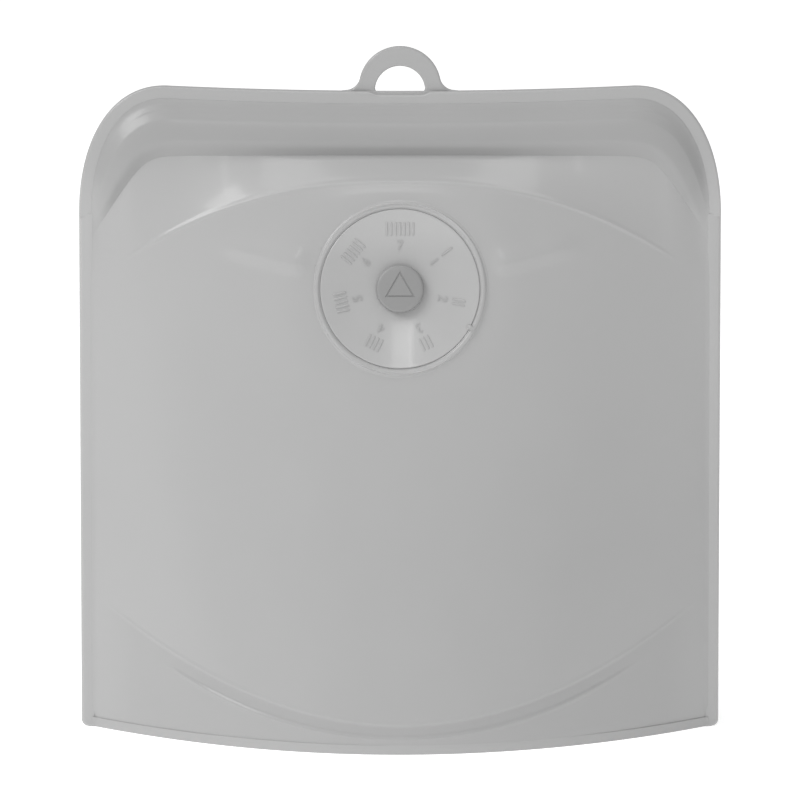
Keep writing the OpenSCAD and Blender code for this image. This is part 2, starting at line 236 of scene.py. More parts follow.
def wallDepth(x, z, side):
    base, middle, top = footDepth(x), shoulderDepth(x), topDepth(x)
    low, crease, high = weldTop(x) - 0.8, creaseHeight(x), borderHeight(x)
    lean = (middle - base) / (crease - floorHeight(x))
    shoulder = (top - middle) / (high - crease)
    depth = base + lean * softRamp(z - low, surface["footSoftness"])
    depth = depth + (shoulder - lean) * softRamp(z - crease, surface["creaseSoftness"])
    across = smoothStep((bag["edge"] - np.abs(x)) / 16)
    ridge = np.exp(-((z - crease) / surface["creaseRidgeWidth"]) ** 2)
    depth = depth + surface["creaseRidge"] * ridge * across * smoothStep((88 - np.abs(x)) / 22)
    sway = np.sin(x / 31 + z / 47 + 0.6) * np.sin(z / 29 - x / 83 + side["sign"])
    depth = depth + surface["sway"] * sway * across * smoothStep((crease - z) / 30)
    # the gusset's bonded strip with its upper and lower line
    upper, lower = weldTop(x), weldLow(x)
    soft, wide = surface["weldSoft"], surface["weldWidth"]
    strip = smoothStep((z - lower) / soft) * smoothStep((upper - z) / soft)
    weld = surface["weldRidge"] * np.exp(-((z - lower) / wide) ** 2) - surface["weldSink"] * strip
    weld = weld * weldFade(x) + surface["weldUpperRidge"] * np.exp(-((z - upper) / wide) ** 2)
    depth = depth + weld * smoothStep((bag["edge"] - 2 - np.abs(x)) / 10)
    depth = depth - hemTuck(z)
    if side["pucker"]:
        away = np.hypot(x, (z - dialCentre.z) / dialUp.z)
        depth = depth + side["pucker"] * np.exp(-((away - 35) / 7.0) ** 2) * smoothStep((crease - z) / 6)
        depth = depth + pulledFold(x, z, crease)
    return depth


def innerDepth(x, z, side):
    step = 0.2
    alongX = (wallDepth(x + step, z, side) - wallDepth(x - step, z, side)) / (2 * step)
    alongZ = (wallDepth(x, z + step, side) - wallDepth(x, z - step, side)) / (2 * step)
    through = bag["wall"] * np.sqrt(1 + np.minimum(alongX ** 2 + alongZ ** 2, 3))
    return np.maximum(bag["mouthGap"], wallDepth(x, z, side) + 0.5 * hemTuck(z) - through)


# building meshes

def smoothMesh(mesh, sharp):
    mesh.polygons.foreach_set("use_smooth", [True] * len(mesh.polygons))
    mesh.set_sharp_from_angle(angle=math.radians(sharp))


def finishMesh(name, verts, faces, material, sharp):
    mesh = bpy.data.meshes.new(name)
    mesh.from_pydata([tuple(v) for v in np.asarray(verts, float) * mm], [], faces)
    mesh.validate()
    smoothMesh(mesh, sharp)
    mesh.materials.append(material)
    return addObject(name, mesh)


def pointsOf(piece):
    return np.array([v.co for v in piece.data.vertices]) / mm


def signedVolume(verts, faces):
    verts = np.asarray(verts, float)
    centre = verts.mean(0)
    total = 0.0
    for face in faces:
        a = verts[face[0]] - centre
        for k in range(1, len(face) - 1):
            total += a @ np.cross(verts[face[k]] - centre, verts[face[k + 1]] - centre)
    return total / 6


def facedOut(verts, faces):
    return faces if signedVolume(verts, faces) > 0 else [f[::-1] for f in faces]


def shellPiece(name, outer, inner, material, sharp, keep=None):
    # two matching grids, joined round every open edge into one closed shell
    columns, rows = outer.shape[:2]
    keep = np.ones((columns - 1, rows - 1), bool) if keep is None else keep
    count = columns * rows
    faces, edges = [], {}
    for i, j in zip(*np.nonzero(keep)):
        a, b = i * rows + j, (i + 1) * rows + j
        ring = [int(a), int(b), int(b + 1), int(a + 1)]
        faces.append(ring)
        faces.append([v + count for v in ring[::-1]])
        for k in range(4):
            edge = (ring[k], ring[(k + 1) % 4])
            if edge[::-1] in edges:
                del edges[edge[::-1]]
            else:
                edges[edge] = True
    for a, b in edges:
        faces.append([b, a, a + count, b + count])
    verts = np.concatenate([outer.reshape(-1, 3), inner.reshape(-1, 3)])
    used = sorted({v for f in faces for v in f})
    renumber = {v: k for k, v in enumerate(used)}
    verts = verts[used]
    faces = [[renumber[v] for v in f] for f in faces]
    return finishMesh(name, verts, facedOut(verts, faces), material, sharp)


def loftPiece(name, rings, material, sharp):
    # rings of the same number of points, each a closed section, with a middle point at each end
    rings = np.asarray(rings, float)
    stations, points = rings.shape[:2]
    faces = []
    for i in range(stations - 1):
        for k in range(points):
            n = (k + 1) % points
            faces.append([i * points + k, i * points + n, (i + 1) * points + n, (i + 1) * points + k])
    verts = list(rings.reshape(-1, 3))
    for i, turned in ((0, True), (stations - 1, False)):
        middle = len(verts)
        verts.append(rings[i].mean(0))
        for k in range(points):
            a, b = i * points + k, i * points + (k + 1) % points
            faces.append([middle, b, a] if turned else [middle, a, b])
    return finishMesh(name, verts, facedOut(verts, faces), material, sharp)


def resampled(points, shares):
    points = np.asarray(points, float)
    steps = np.linalg.norm(np.diff(points, axis=0), axis=1)
    along = np.concatenate([[0], np.cumsum(steps)]) / steps.sum()
    return np.stack([np.interp(shares, along, points[:, k]) for k in range(points.shape[1])], 1)


def bezier(start, pullA, pullB, end, count):
    t = np.linspace(0, 1, count)[:, None]
    start, pullA, pullB, end = (np.array(p, float) for p in (start, pullA, pullB, end))
    return (start * (1 - t) ** 3 + 3 * pullA * t * (1 - t) ** 2
            + 3 * pullB * t ** 2 * (1 - t) + end * t ** 3)


def bendWith(piece):
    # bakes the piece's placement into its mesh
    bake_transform(piece)


# materials

def feed(tree, node, inputs):
    # an input takes a value, or the output that feeds it
    for key, value in inputs.items():
        if isinstance(value, bpy.types.NodeSocket):
            tree.links.new(value, node.inputs[key])
        else:
            node.inputs[key].default_value = value


def addNode(tree, kind, inputs=None, **values):
    node = tree.nodes.new(kind)
    for key, value in values.items():
        setattr(node, key, value)
    feed(tree, node, inputs or {})
    return node


def plainMaterial(name):
    material = bpy.data.materials.new(name)
    material.use_nodes = True
    tree = material.node_tree
    tree.nodes.clear()
    shader = addNode(tree, "ShaderNodeBsdfPrincipled")
    addNode(tree, "ShaderNodeOutputMaterial", {"Surface": shader.outputs["BSDF"]})
    return material, tree, shader


def noise(tree, place, scale, detail=2):
    made = addNode(tree, "ShaderNodeTexNoise", {"Vector": place, "Scale": scale, "Detail": detail})
    return made.outputs["Fac"]


def mix(tree, share, first, second, blend="MIX"):
    made = addNode(tree, "ShaderNodeMix", {"Factor": share, "A": first, "B": second},
                   data_type="RGBA", blend_type=blend)
    return made.outputs["Result"]


def mapped(tree, value, start, end, low=0, high=1):
    made = addNode(tree, "ShaderNodeMapRange", {
        "Value": value, "From Min": low, "From Max": high, "To Min": start, "To Max": end})
    return made.outputs["Result"]


def bump(tree, height, strength, distance, under=None):
    made = addNode(tree, "ShaderNodeBump", {"Height": height, "Strength": strength, "Distance": distance})
    if under is not None:
        feed(tree, made, {"Normal": under})
    return made.outputs["Normal"]


def tinted(colour, share):
    return (*[c * share for c in colour], 1)


def siliconeMaterial(name, look):
    material, tree, shader = plainMaterial(name)
    place = addNode(tree, "ShaderNodeTexCoord").outputs["Object"]
    # slow clouding in the moulding
    dark, light = (tinted(look["colour"], 1 + way * look["clouding"]) for way in (-1, 1))
    tint = mix(tree, noise(tree, place, look["cloudScale"], 4), dark, light)
    # thicker places look darker: painted light standing in for the light that thin silicone lets through;
    # on the walls and the right seam the same attribute also carries painted shade
    thick = addNode(tree, "ShaderNodeAttribute", attribute_name="thick").outputs["Fac"]
    # handled patches are a little smoother than the frosted rest
    smudge = noise(tree, place, look["smudgeScale"], 6)
    low, high = look["roughness"] - look["roughSpread"], look["roughness"] + look["roughSpread"]
    # mould texture: a fine grain over slight waves
    wave = bump(tree, noise(tree, place, look["waveScale"], 1), look["waveStrength"], look["waveDepth"])
    grain = noise(tree, place, look["grainScale"])
    feed(tree, shader, {
        "Base Color": mix(tree, thick, tint, tinted(look["deepTint"], 1), "MULTIPLY"),
        "Roughness": mapped(tree, smudge, low, high, 0.35, 0.7),
        "Normal": bump(tree, grain, look["grainStrength"], look["grainDepth"], wave),
        "IOR": 1.41, "Sheen Weight": look["sheen"], "Sheen Roughness": 0.5,
        "Coat Weight": look["coat"], "Coat Roughness": 0.13})
    return material


siliconeLooks = {
    "wallSilicone": {"colour": (0.365, 0.365, 0.365), "roughness": 0.4},
    "edgeSilicone": {"colour": (0.345, 0.345, 0.345), "roughness": 0.36},
    "bandSilicone": {"colour": (0.365, 0.365, 0.365), "roughness": 0.38, "coat": 0.18},
    # painted light: a lighter copy of the wall's silicone for the side seams, which face the front, away
    # from the key light; the lips and hems share it
    "litSeamSilicone": {"colour": (0.385, 0.385, 0.385), "roughness": 0.38},
    "trackSilicone": {"colour": (0.36, 0.36, 0.36), "roughness": 0.3},
    "seatSilicone": {"colour": (0.37, 0.37, 0.37), "roughness": 0.26},
}
siliconeShared = {
    "clouding": 0.03, "cloudScale": 22, "deepTint": (0.82, 0.82, 0.82), "roughSpread": 0.05,
    "smudgeScale": 48, "grainScale": 3800, "grainStrength": 0.12, "grainDepth": 0.00006,
    "waveScale": 75, "waveStrength": 0.06, "waveDepth": 0.0004, "sheen": 0.1, "coat": 0.34,
}
silicone = {}
for lookName, lookValues in siliconeLooks.items():
    silicone[lookName] = siliconeMaterial(lookName, {**siliconeShared, **lookValues})


def plasticMaterial(name, look):
    material, tree, shader = plainMaterial(name)
    place = addNode(tree, "ShaderNodeTexCoord").outputs["Object"]
    cloud = noise(tree, place, look["cloudScale"], 4)
    grain = noise(tree, place, look["grainScale"])
    feed(tree, shader, {
        "Base Color": mix(tree, cloud, tinted(look["colour"], 0.96), tinted(look["colour"], 1.04)),
        "Roughness": mapped(tree, cloud, look["roughness"] * 0.8, look["roughness"] * 1.2),
        "Normal": bump(tree, grain, look["grain"], 0.00005),
        "IOR": 1.5, "Coat Weight": look["coat"], "Coat Roughness": 0.06})
    return material


discPlastic = plasticMaterial("discPlastic", {
    "colour": (0.385, 0.385, 0.385), "roughness": 0.19, "cloudScale": 60, "grainScale": 900,
    "grain": 0.05, "coat": 0.3})
markPlastic = plasticMaterial("markPlastic", {
    "colour": (0.35, 0.35, 0.35), "roughness": 0.16, "cloudScale": 90, "grainScale": 1500,
    "grain": 0.05, "coat": 0.4})
buttonPlastic = plasticMaterial("buttonPlastic", {
    "colour": (0.245, 0.245, 0.245), "roughness": 0.4, "cloudScale": 120, "grainScale": 5200,
    "grain": 0.2, "coat": 0.1})
print("materials made")


def paintThickAndShade(piece, values):
    # one value, or one for each point of the mesh, darkening the silicone for its thickness and, where
    # given, for painted shade
    attribute = piece.data.attributes.new("thick", "FLOAT", "POINT")
    values = np.broadcast_to(values, len(piece.data.vertices))
    attribute.data.foreach_set("value", np.array(values, np.float32))


def paintRings(piece, shade, rings):
    # one value for each ring, and for the middle points of the two ends
    paintThickAndShade(piece, np.concatenate([np.repeat(shade, len(rings[0])), shade[[0, -1]]]))


# front and back walls

wallGrid = {"columns": 92, "foot": 6, "weld": 20, "middle": 92, "crease": 20, "shoulder": 8,
            "holeRadius": 27.5, "underBand": 1.3, "bottom": 1.0}


def dialDistance(x, z, depth):
    offset = np.stack([x, -depth - dialCentre.y, z - dialCentre.z], -1)
    up = offset @ np.array(dialUp)
    return np.sqrt(offset[..., 0] ** 2 + up ** 2)


def wallGridPoints():
    edge = bag["edge"] + 0.7
    across = np.concatenate([[0, 0.25], np.linspace(1.2, edge, wallGrid["columns"])])
    low, weld = weldLow(across), weldTop(across)
    crease, high = creaseHeight(across), borderHeight(across) + wallGrid["underBand"]
    near, far = crease - 3.5, np.minimum(crease + 2.5, high - 0.5)
    low, weld = np.maximum(low - 1.4, wallGrid["bottom"] + 1.2), weld + 1.5
    ground = np.full_like(low, wallGrid["bottom"])
    stops = [(ground, low, wallGrid["foot"]), (low, weld, wallGrid["weld"]),
             (weld, near, wallGrid["middle"]), (near, far, wallGrid["crease"]),
             (far, high, wallGrid["shoulder"])]
    rows = [start + (end - start) * k / count for start, end, count in stops for k in range(count)]
    rows.append(high)
    z = np.stack(rows, 1)
    x = np.repeat(across[:, None], z.shape[1], 1)
    return x, z


def addWall(side, right):
    x, z = wallGridPoints()
    depth = wallDepth(x, z, side)
    inner = innerDepth(x, z, side)
    keep = None
    if side["pucker"]:
        away = dialDistance(x, z, depth)
        inHole = away < wallGrid["holeRadius"]
        keep = ~(inHole[:-1, :-1] & inHole[1:, :-1] & inHole[:-1, 1:] & inHole[1:, 1:])
    way = 1 if right else -1
    outerPoints = np.stack([way * x, side["sign"] * depth, z], -1)
    innerPoints = np.stack([way * x, side["sign"] * inner, z], -1)
    name = side["name"] + ("RightWall" if right else "LeftWall")
    piece = shellPiece(name, outerPoints, innerPoints, silicone["wallSilicone"], 55, keep)
    co = pointsOf(piece)
    # darker below the gusset's upper line and in the sunk bonded strip: partly the doubled silicone's
    # deeper tone, partly painted shade
    low, upper = weldLow(co[:, 0]), weldTop(co[:, 0])
    apron = smoothStep((upper - co[:, 2]) / 1.4)
    strip = smoothStep((co[:, 2] - low) / surface["weldSoft"]) * apron * weldFade(co[:, 0])
    # painted shade: the wall darkens towards the right, away from the key light
    paintedRightShade = smoothStep((co[:, 0] + 100) / 200)
    apron = apron * smoothStep((96 - np.abs(co[:, 0])) / 16)
    paintThickAndShade(piece, np.clip(0.32 * apron + 0.2 * strip + 0.08 * paintedRightShade, 0, 1))
    bendWith(piece)
    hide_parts(side["name"] + "_panel")
    return piece


for wallSide in (front, back):
    for isRight in (True, False):
        addWall(wallSide, isRight)
print("walls made")

# mouth: lips and closure bands

mouth = {"stations": 150, "steps": 160, "fade": 14.0, "fadeLow": 161.0, "power": 2 / 2.2,
         "lipGap": 0.05, "lipDip": 1.0, "lipThin": 1.15, "bandThin": 1.3, "swell": 0.35,
         "upperTrack": 8.6, "lowerTrack": 15.6, "channelHalf": 1.6, "channelDeep": 2.75,
         "cover": 3.15, "coverSlope": 0.9, "coverSoft": 0.2}


def archHalf(side, top, start=0.0):
    # right half of the mouth's outline, inset, from the side up to the middle
    angle = np.radians(np.linspace(start, 90, mouth["steps"]))
    cornerX = bag["cornerX"] + (bag["cornerWidth"] - side) * np.cos(angle) ** mouth["power"]
    cornerZ = bag["cornerZ"] + (bag["cornerHeight"] - top) * np.sin(angle) ** mouth["power"]
    x = np.linspace(bag["cornerX"], 0, mouth["steps"])[1:]
    return np.concatenate([np.stack([cornerX, cornerZ], 1), np.stack([x, topHeight(x) - top], 1)])


stationSpread = np.linspace(0, 1, mouth["stations"])
outline = resampled(archHalf(0, 0), stationSpread)
bandTop = resampled(archHalf(bag["halfWidth"] - bag["edge"], bag["lipWidth"]), stationSpread)
borderX = np.linspace(bag["edge"], 0, 400)
bandBorder = resampled(np.stack([borderX, borderHeight(borderX)], 1), stationSpread)
# the band's rounded outer side, as share of its width and share of its thickness
rollLedge = bezier((0, 0), (0.02, 0.02), (0.05, 0.05), (0.08, 0.1), 6)
rollStep = bezier((0.08, 0.1), (0.18, 0.3), (0.27, 0.72), (0.34, 0.9), 14)
rollFace = bezier((0.34, 0.9), (0.42, 0.99), (0.56, 1.0), (0.68, 0.97), 10)
rollDown = bezier((0.68, 0.97), (0.82, 0.9), (0.88, 0.4), (1.0, 0.0), 12)
rollShape = np.concatenate([rollLedge, rollStep[1:], rollFace[1:], rollDown[1:]])


def trackPath(track):
    if track == "upper":
        return archHalf(mouth["upperTrack"], mouth["upperTrack"], 18)
    x = np.linspace(bag["cornerX"] + 3, 0, mouth["steps"])
    return np.stack([x, topHeight(x) - mouth["lowerTrack"]], 1)


def evened(values):
    # a running mean over 13 stations
    return np.convolve(np.pad(np.asarray(values, float), 6, "edge"), np.ones(13) / 13, "valid")


def covered(outer, share, length, where, weight):
    # keeps the band's outer side clear of the channel that runs inside it
    away = np.abs(share - where) * length
    beside = np.maximum(0, away - mouth["channelHalf"] - 0.3)
    least = mouth["cover"] * weight - mouth["coverSlope"] * beside
    return 0.5 * (outer + least + np.sqrt((outer - least) ** 2 + mouth["coverSoft"] ** 2))


def trackShares(track):
    # where the track crosses each line from the band's top to its border, and whether it does
    path = trackPath(track)
    shares = np.linspace(0, 1, mouth["steps"])
    places = bandTop[:, None] + (bandBorder - bandTop)[:, None] * shares[None, :, None]
    away = np.linalg.norm(places[:, :, None] - path[None, None], axis=-1).min(2)
    return evened(shares[away.argmin(1)]), away.min(1) < 0.6


def addBand(side, right):
    way = 1 if right else -1
    length = np.linalg.norm(bandBorder - bandTop, axis=1)
    fade = smoothStep(((bandTop + bandBorder)[:, 1] / 2 - mouth["fadeLow"]) / mouth["fade"])
    full = 0.7 + 0.3 * smoothStep((bandBorder[:, 1] - bag["cornerZ"]) / 20)
    rise = (side["bandOut"] - 3.7) * fade * full
    start = mouth["bandThin"] + mouth["swell"] * smoothStep((bandTop[:, 1] - bag["cornerZ"]) / 12)
    end = np.minimum(wallDepth(bandBorder[:, 0], bandBorder[:, 1], side), 4.5)
    crossings = [trackShares("upper"), trackShares("lower")]
    weights = [evened(crosses) for where, crosses in crossings]
    rings = []
    for i in range(len(length)):
        share = rollShape[:, 0]
        outer = start[i] + (end[i] - start[i]) * share + rise[i] * rollShape[:, 1]
        if side["sign"] < 0:
            for (where, crosses), weight in zip(crossings, weights):
                outer = covered(outer, share, length[i], where[i], weight[i])
        section = list(zip(share, outer))
        flat = [(1.0, bag["mouthGap"])]
        for where, crosses in crossings[::-1]:
            half = mouth["channelHalf"] / length[i]
            room = np.interp(where[i], share, outer) - 0.7
            cut = crosses[i] and side["sign"] < 0
            deep = max(min(mouth["channelDeep"], room), bag["mouthGap"]) if cut else bag["mouthGap"]
            middle = min(max(where[i], half), 1 - half)
            flat += [(middle + half, bag["mouthGap"]), (middle + half, deep),
                     (middle - half, deep), (middle - half, bag["mouthGap"])]
        flat.append((0.0, bag["mouthGap"]))
        ring = []
        for s, depth in section + flat:
            place = bandTop[i] + (bandBorder[i] - bandTop[i]) * s
            ring.append((way * place[0], side["sign"] * depth, place[1]))
        rings.append(ring)
    name = side["name"] + ("RightBand" if right else "LeftBand")
    piece = loftPiece(name, rings, silicone["bandSilicone"], 50)
    paintRings(piece, 0.1 + 0.75 * fade, rings)
    bendWith(piece)
    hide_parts(side["name"] + "_closure_band")
    return piece


def addLip(side, right):
    way = 1 if right else -1
    gap = mouth["lipGap"]
    inward = outline - bandTop
    width = np.linalg.norm(inward, axis=1)
    direction = inward / width[:, None]
    # the front lip dips a little so that the loop's hole stays clear
    dip = smoothStep((10 - outline[:, 0]) / 3) * (mouth["lipDip"] if side["sign"] < 0 else 0)
    rings = []
    for i in range(len(width)):
        thick = mouth["lipThin"] + mouth["swell"] * smoothStep((outline[i, 1] - bag["cornerZ"]) / 12)
        radius = thick / 2
        root = bandTop[i] - direction[i] * 0.8
        tip = outline[i] - direction[i] * (radius + dip[i])
        ring = [(*root, gap + thick)]
        for k in range(9):
            turn = math.radians(90 - 90 * k / 8)
            place = tip + direction[i] * radius * math.cos(turn)
            ring.append((*place, gap + thick - radius + radius * math.sin(turn)))
        ring.append((*(tip + direction[i] * radius), gap + 0.1))
        ring.append((*(tip + direction[i] * (radius - 0.1)), gap))
        ring.append((*root, gap))
        rings.append([(way * x, side["sign"] * depth, z) for x, z, depth in ring])
    name = side["name"] + ("RightLip" if right else "LeftLip")
    piece = loftPiece(name, rings, silicone["litSeamSilicone"], 60)
    # darker towards the thick mouth, as light as the seam at its foot
    paintRings(piece, 0.45 * smoothStep((outline[:, 1] - bag["cornerZ"]) / 26), rings)
    bendWith(piece)
    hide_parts(side["name"] + "_lip")
    return piece


for mouthSide in (front, back):
    for isRight in (True, False):
        addBand(mouthSide, isRight)
        addLip(mouthSide, isRight)
print("lips and closure bands made")

# swept strips: ribs, channels and hems, by Geometry Nodes


def sweepTree():
    tree = bpy.data.node_groups.new("sweptStrip", "GeometryNodeTree")
    sockets = {"Path": "Geometry", "Section": "Object", "Stations": "Int", "Finish": "Material"}
    for name, kind in sockets.items():
        tree.interface.new_socket(name, in_out="INPUT", socket_type="NodeSocket" + kind)
    tree.interface.new_socket("Strip", in_out="OUTPUT", socket_type="NodeSocketGeometry")
    given = addNode(tree, "NodeGroupInput").outputs
    path = addNode(tree, "GeometryNodeMeshToCurve", {"Mesh": given["Path"]}).outputs["Curve"]
    line = addNode(tree, "GeometryNodeResampleCurve", {"Curve": path, "Count": given["Stations"]})
    drawn = addNode(tree, "GeometryNodeObjectInfo", {"Object": given["Section"]}).outputs["Geometry"]
    profile = addNode(tree, "GeometryNodeMeshToCurve", {"Mesh": drawn}).outputs["Curve"]
    sweep = addNode(tree, "GeometryNodeCurveToMesh", {
        "Curve": line.outputs["Curve"], "Profile Curve": profile, "Fill Caps": True})
    smooth = addNode(tree, "GeometryNodeSetShadeSmooth", {"Geometry": sweep.outputs["Mesh"]})
    real = addNode(tree, "GeometryNodeRealizeInstances", {"Geometry": smooth.outputs["Geometry"]})
    finish = addNode(tree, "GeometryNodeSetMaterial", {
        "Geometry": real.outputs["Geometry"], "Material": given["Finish"]})
    addNode(tree, "NodeGroupOutput", {"Strip": finish.outputs["Geometry"]})
    return tree


stripTree = sweepTree()


def edgeObject(name, points, closed):
    count = len(points)
    edges = [(k, k + 1) for k in range(count - 1)] + ([(count - 1, 0)] if closed else [])
    mesh = bpy.data.meshes.new(name)
    mesh.from_pydata([tuple(p) for p in np.asarray(points, float) * mm], edges, [])
    return addObject(name, mesh)


def setInputs(modifier, tree, values):
    for item in tree.interface.items_tree:
        if item.in_out == "INPUT" and item.name in values:
            modifier[item.identifier] = values[item.name]


def dropObject(used):
    data = used.data
    bpy.data.objects.remove(used)
    bpy.data.meshes.remove(data)


def plainCopy(made, name):
    graph = bpy.context.evaluated_depsgraph_get()
    mesh = bpy.data.meshes.new_from_object(made.evaluated_get(graph))
    mesh.name = name
    return addObject(name, mesh)


def sweptStrip(name, path, section, stations, material):
    line = edgeObject(name + "Path", path, False)
    outlineObject = edgeObject(name + "Section", [(a, b, 0) for a, b in section], True)
    modifier = line.modifiers.new("sweptStrip", "NODES")
    modifier.node_group = stripTree
    setInputs(modifier, stripTree, {
        "Section": outlineObject, "Stations": stations, "Finish": material})
    piece = plainCopy(line, name)
    dropObject(line)
    dropObject(outlineObject)
    faces = [list(p.vertices) for p in piece.data.polygons]
    if signedVolume(pointsOf(piece), faces) < 0:
        piece.data.flip_normals()
    piece.data.set_sharp_from_angle(angle=math.radians(40))
    return piece


def roundedSection(low, high, half, radius, steps=4):
    # a strip's section from low to high out of the wall, with rounded corners
    points = []
    corners = ((high - radius, half - radius, 0), (low + radius, half - radius, 90),
               (low + radius, radius - half, 180), (high - radius, radius - half, 270))
    for a, b, start in corners:
        for k in range(steps + 1):
            turn = math.radians(start + 90 * k / steps)
            points.append((a + radius * math.cos(turn), b + radius * math.sin(turn)))
    return points


tracks = {"stations": 90, "ribLength": 2.0, "ribHalf": 0.8, "ribRound": 0.45,
          "slotHalf": 1.1, "slotDeep": 2.3, "channelHalf": 1.55, "channelDeep": 2.7, "mouthRound": 0.3}


def ribSection():
    # rooted in the back band, and rounded at the tip that presses into its channel
    return roundedSection(-tracks["ribLength"], 0.5, tracks["ribHalf"], tracks["ribRound"])


def channelSection():
    gap, slot, wide = -bag["mouthGap"], tracks["slotHalf"], tracks["channelHalf"]
    deep, floor, soft = -tracks["channelDeep"], -tracks["slotDeep"], tracks["mouthRound"]
    points = [(gap, wide), (deep, wide), (deep, -wide), (gap, -wide)]
    points += [(gap, -slot - soft), (gap - soft * 0.3, -slot - soft * 0.3), (gap - soft, -slot)]
    points += [(floor + soft, -slot), (floor, -slot + soft), (floor, slot - soft), (floor + soft, slot)]
    points += [(gap - soft, slot), (gap - soft * 0.3, slot + soft * 0.3), (gap, slot + soft)]
    return points


def addTrackStrip(kind, track, right):
    way = 1 if right else -1
    path = [(way * x, 0, z) for x, z in trackPath(track)]
    section = channelSection() if kind == "channel" else ribSection()
    # the sweep's section turns over with the path's direction
    section = [(a, b) if right else (-a, b) for a, b in section]
    name = track + kind.capitalize() + ("Right" if right else "Left")
    piece = sweptStrip(name, path, section, tracks["stations"], silicone["trackSilicone"])
    paintThickAndShade(piece, 0.3)
    bendWith(piece)
    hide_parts(track + "_" + kind)
    return piece


for trackName in ("upper", "lower"):
    for isRight in (True, False):
        channelPiece = addTrackStrip("channel", trackName, isRight)
        ribPiece = addTrackStrip("rib", trackName, isRight)
        reaches = [round(float(pointsOf(p)[:, 1].min()), 2) for p in (channelPiece, ribPiece)]
        print(trackName, "channel and rib reach", *reaches)

# hems, seams and the base gusset

hemShape = {"stations": 120, "proud": 0.02, "thick": 2.2, "round": 0.15}


def addHem(side):
    x = np.linspace(-bag["edge"] - 1.0, bag["edge"] + 1.0, 200)
    inward = hemShape["thick"] / 2 - hemShape["proud"]
    slope = -2 * x * (bag["footHalf"] - bag["seamHalf"]) / bag["edge"] ** 2
    tilt = np.sqrt(1 + slope ** 2)
    py = wallDepth(x, np.full_like(x, bag["hemHeight"] + 0.3), side) - inward / tilt
    px = x + slope * inward / tilt
    path = np.stack([px, side["sign"] * py, np.full_like(x, bag["hemHeight"] / 2)], 1)
    half, tall, soft = hemShape["thick"] / 2, bag["hemHeight"] / 2, hemShape["round"]
    section = roundedSection(-half, half, tall, soft)
    name = side["name"] + "Hem"
    piece = sweptStrip(name, path, section, hemShape["stations"], silicone["litSeamSilicone"])
    paintThickAndShade(piece, 0.35)
    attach(piece, "base")
    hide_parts(side["name"] + "_hem")
    return piece


seamShape = {"inner": 95.9, "round": 2.0, "points": 10, "thinEdge": 0.75, "nub": 0.5}


def addSeam(right):
    way = 1 if right else -1
    foot = np.linspace(0.02, seamShape["round"], 8)
    heights = np.concatenate([foot, np.linspace(3, seamHigh[2] + 1.2, 70)])
    rings = []
    for z in heights:
        lower = max(0.0, seamShape["round"] - z)
        outer = bag["halfWidth"] - seamShape["round"] + math.sqrt(seamShape["round"] ** 2 - lower ** 2)
        half = bag["seamHalf"] + 0.05 + seamShape["nub"] * math.exp(-(z / 1.6) ** 2)
        thin = half * seamShape["thinEdge"]
        ring = [(seamShape["inner"], -half), (bag["edge"] + 0.5, -half)]
        for k in range(seamShape["points"] + 1):
            turn = math.radians(-90 + 180 * k / seamShape["points"])
            ring.append((outer - thin + thin * math.cos(turn), thin * math.sin(turn)))
        ring += [(bag["edge"] + 0.5, half), (seamShape["inner"], half)]
        rings.append([(way * x, y, z) for x, y in ring])
    piece = loftPiece("rightSeam" if right else "leftSeam", rings, silicone["litSeamSilicone"], 45)
    # painted shade: the right seam is darker, away from the key light
    paintThickAndShade(piece, 0.08 if right else 0.0)
    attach(piece, "base")
    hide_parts("right_seam" if right else "left_seam")
    return piece


gusset = {"columns": 121, "rows": 16, "fold": 0.55, "foldWidth": 1.3, "sink": 0.8, "bow": 1.1}


def addGussetHalf(side):
    x = np.linspace(-bag["floorReach"] + 1, bag["floorReach"] - 1, gusset["columns"])
    low = floorHeight(x)
    reach = innerDepth(x, low - 0.3, side) + gusset["sink"]
    shares = np.linspace(0, 1, gusset["rows"]) ** 1.3
    y = reach[:, None] * shares[None, :]
    fold = gusset["fold"] * np.exp(-(y / gusset["foldWidth"]) ** 2)
    bow = gusset["bow"] * np.sin(np.pi * shares)[None, :] * smoothStep(reach / 30)[:, None]
    z = low[:, None] - 0.2 + fold - bow * 0.6
    slope = np.gradient(low, x)
    down = bag["wall"] * np.sqrt(1 + slope ** 2)[:, None]
    grid = np.repeat(x[:, None], gusset["rows"], 1)
    upper = np.stack([grid, side["sign"] * y, z], -1)
    lower = np.stack([grid, side["sign"] * y, z - down], -1)
    piece = shellPiece(side["name"] + "GussetHalf", upper, lower, silicone["wallSilicone"], 50)
    paintThickAndShade(piece, 0.2)
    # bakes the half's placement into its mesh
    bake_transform(piece)
    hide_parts("base_gusset")
    return piece


for footSide in (front, back):
    addHem(footSide)
    addGussetHalf(footSide)
for isRight in (True, False):
    addSeam(isRight)
print("hems, seams and gusset made")

# hanging loop

loopShape = {"outer": 12.8, "hole": 7.8, "rise": 1.1, "fillet": 4.6, "holeLow": 0.8, "skirt": 3.0,
             "thick": 2.4, "bevel": 0.5, "cornerRound": 1.6}


def arcPoints(centre, radius, start, end, count):
    turns = np.radians(np.linspace(start, end, count))
    return [(centre[0] + radius * math.cos(t), centre[1] + radius * math.sin(t)) for t in turns]


